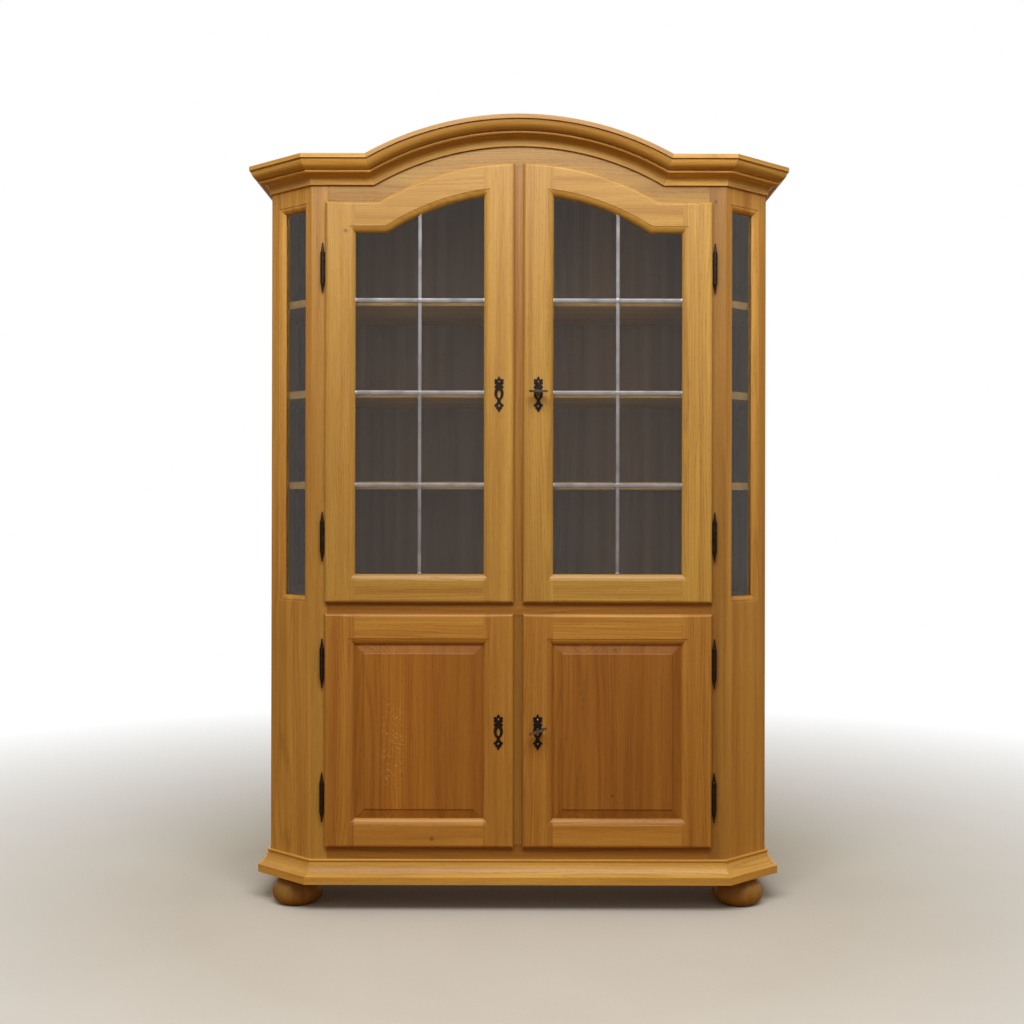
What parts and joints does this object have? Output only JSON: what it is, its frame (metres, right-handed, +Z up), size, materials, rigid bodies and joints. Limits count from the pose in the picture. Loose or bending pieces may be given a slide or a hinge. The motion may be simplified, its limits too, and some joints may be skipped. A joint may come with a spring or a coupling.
{
  "type": "display cabinet",
  "caption": "Free-standing display cabinet with arched cornice, canted corners, leaded glass doors over panelled doors, locks with keys, shelves, plinth and bun feet.",
  "frame": {"origin": "on the floor, under the middle of the cabinet's box", "axes": "+Z up, the doors face -Y, +X to the right seen from the front"},
  "size_m": [1.468, 0.45, 2.1],
  "materials": {
    "oak": "honey-coloured oak with a satin lacquer",
    "back_veneer": "brown-stained oak veneer on plywood, matt",
    "glass": "clear float glass, faintly grey",
    "lead_came": "dull grey lead",
    "black_iron": "blackened iron, waxed",
    "pewter_key": "dull tumbled steel",
    "lock_steel": "zinc-plated steel",
    "catch_brass": "turned brass"
  },
  "bodies": {
    "case": {"arched_rail": "oak", "back_panel": "back_veneer", "ball_catches": "catch_brass", "bottom_board": "oak", "bottom_rail": "oak", "bun_feet": "oak", "cant_frame_left": "oak", "cant_frame_right": "oak", "cant_pane_left": "glass", "cant_pane_right": "glass", "centre_post": "oak", "corner_stile_left": "oak", "corner_stile_right": "oak", "cornice_arch": "oak", "cornice_left": "oak", "cornice_right": "oak", "foot_blocks": "oak", "frame_hinge_leaves": "black_iron", "lower_shelf": "oak", "middle_board": "oak", "middle_rail": "oak", "plinth_front": "oak", "plinth_left": "oak", "plinth_right": "oak", "shelf_pins": "lock_steel", "side_panel_left": "oak", "side_panel_right": "oak", "top_board": "oak", "upper_shelf_high": "oak", "upper_shelf_low": "oak", "upper_shelf_middle": "oak"},
    "upper_left_door": {"upper_left_door_hinge_leaves": "black_iron", "upper_left_door_keyhole_plate": "black_iron", "upper_left_door_lead_lattice": "lead_came", "upper_left_door_pane": "glass", "upper_left_door_rails": "oak", "upper_left_door_stiles": "oak"},
    "upper_right_door": {"upper_right_door_hinge_leaves": "black_iron", "upper_right_door_keyhole_plate": "black_iron", "upper_right_door_lead_lattice": "lead_came", "upper_right_door_pane": "glass", "upper_right_door_rails": "oak", "upper_right_door_stiles": "oak", "upper_lock_case": "lock_steel"},
    "lower_left_door": {"lower_left_door_hinge_leaves": "black_iron", "lower_left_door_keyhole_plate": "black_iron", "lower_left_door_panel": "oak", "lower_left_door_rails": "oak", "lower_left_door_stiles": "oak"},
    "lower_right_door": {"lower_right_door_hinge_leaves": "black_iron", "lower_right_door_keyhole_plate": "black_iron", "lower_right_door_panel": "oak", "lower_right_door_rails": "oak", "lower_right_door_stiles": "oak", "lower_lock_case": "lock_steel"},
    "upper_key": {"upper_key": "pewter_key"},
    "upper_bolt": {"upper_lock_bolt": "lock_steel"},
    "lower_key": {"lower_key": "pewter_key"},
    "lower_bolt": {"lower_lock_bolt": "lock_steel"}
  },
  "joints": [
    {"name": "upper_left_door_swing", "type": "hinge", "parent": "case", "child": "upper_left_door", "pos_m": [-0.5205, -0.1735, 0], "axis": [0, 0, -1], "range_deg": [0, 170]},
    {"name": "upper_right_door_swing", "type": "hinge", "parent": "case", "child": "upper_right_door", "pos_m": [0.5205, -0.1735, 0], "axis": [0, 0, 1], "range_deg": [0, 170]},
    {"name": "lower_left_door_swing", "type": "hinge", "parent": "case", "child": "lower_left_door", "pos_m": [-0.5205, -0.1735, 0], "axis": [0, 0, -1], "range_deg": [0, 170]},
    {"name": "lower_right_door_swing", "type": "hinge", "parent": "case", "child": "lower_right_door", "pos_m": [0.5205, -0.1735, 0], "axis": [0, 0, 1], "range_deg": [0, 170]},
    {"name": "upper_key_turn", "type": "hinge", "parent": "upper_right_door", "child": "upper_key", "pos_m": [0.052, -0.1804, 1.377], "axis": [0, 1, 0], "range_deg": [0, 180]},
    {"name": "upper_bolt_throw", "type": "slide", "parent": "upper_right_door", "child": "upper_bolt", "axis": [-1, 0, 0], "range_m": [0, 0.008]},
    {"name": "lower_key_turn", "type": "hinge", "parent": "lower_right_door", "child": "lower_key", "pos_m": [0.052, -0.1804, 0.483], "axis": [0, 1, 0], "range_deg": [0, 180]},
    {"name": "lower_bolt_throw", "type": "slide", "parent": "lower_right_door", "child": "lower_bolt", "axis": [-1, 0, 0], "range_m": [0, 0.008]}
  ],
  "couplings": [
    {"joint": "upper_bolt_throw", "follows": "upper_key_turn", "m_per_rad": 0.002546},
    {"joint": "lower_bolt_throw", "follows": "lower_key_turn", "m_per_rad": 0.002546}
  ]
}
